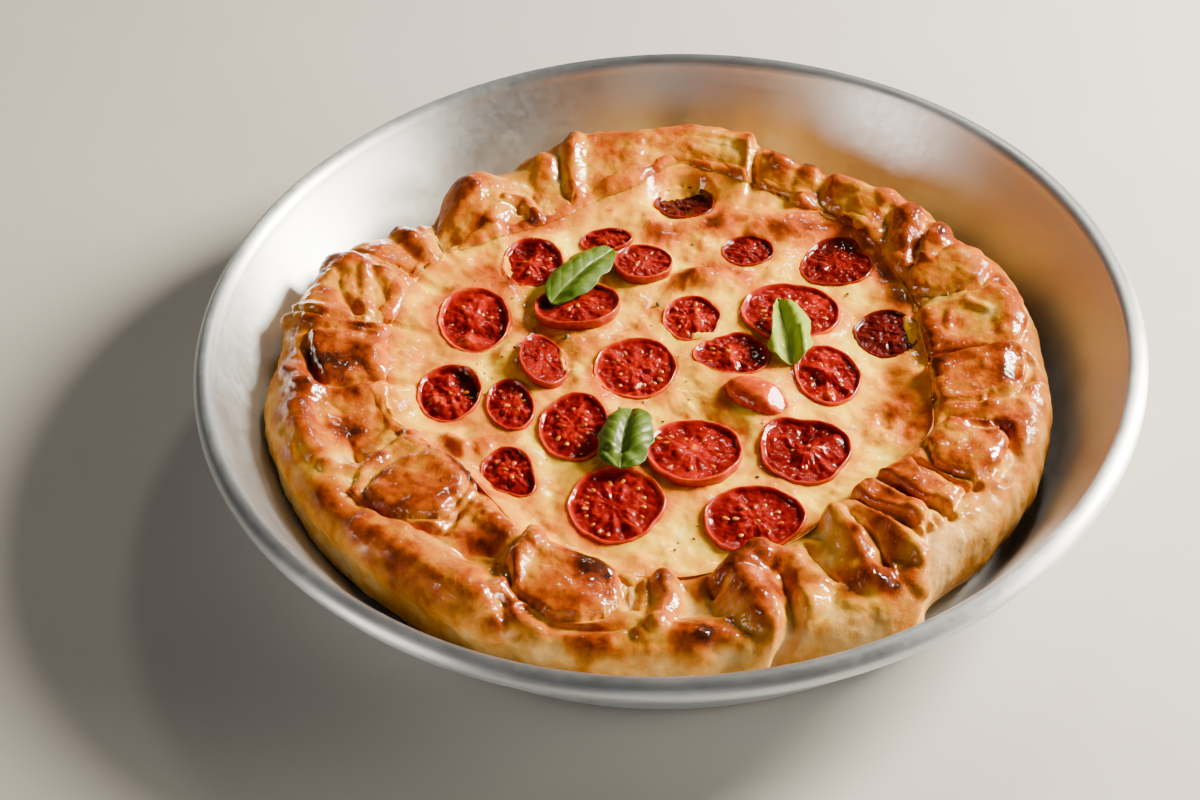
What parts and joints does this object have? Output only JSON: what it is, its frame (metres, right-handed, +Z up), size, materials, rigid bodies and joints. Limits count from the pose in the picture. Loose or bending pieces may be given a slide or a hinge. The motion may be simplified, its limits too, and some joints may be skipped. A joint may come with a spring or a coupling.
{
  "type": "tomato and cheese pie in a round pan",
  "caption": "Round open pie with a pleated golden crust, melted cheese, halved tomatoes and basil leaves, in the wide flared aluminium pan it was baked in.",
  "frame": {"origin": "middle of the pan's flat bottom, on the surface it stands on", "axes": "+Z up; -Y towards the side the pie is seen from; +X to that viewer's right"},
  "size_m": [0.3, 0.3, 0.043],
  "materials": {
    "pan_metal": "spun aluminium, satin, with fine turning lines and light wear on the rolled rim",
    "pastry": "baked dough: pale cream to golden brown, egg-washed and glossy on the raised folds",
    "cheese": "melted cheese: creamy yellow, soft and slightly translucent, glossy with golden spots",
    "tomato": "baked tomato: deep red, moist and glossy, with pale seeds",
    "basil": "fresh basil leaf: green with paler veins, satin"
  },
  "bodies": {
    "root": {"pan": "pan_metal", "pastry": "pastry", "filling": "cheese", "tomato_01": "tomato", "tomato_02": "tomato", "tomato_03": "tomato", "tomato_04": "tomato", "tomato_05": "tomato", "tomato_06": "tomato", "tomato_07": "tomato", "tomato_08": "tomato", "tomato_09": "tomato", "tomato_10": "tomato", "tomato_11": "tomato", "tomato_12": "tomato", "tomato_13": "tomato", "tomato_14": "tomato", "tomato_15": "tomato", "tomato_16": "tomato", "tomato_17": "tomato", "tomato_18": "tomato", "tomato_19": "tomato", "tomato_20": "tomato", "tomato_21": "tomato", "tomato_22": "tomato", "tomato_23": "tomato", "tomato_24": "tomato", "basil_leaf_1": "basil", "basil_leaf_2": "basil", "basil_leaf_3": "basil"}
  },
  "joints": []
}
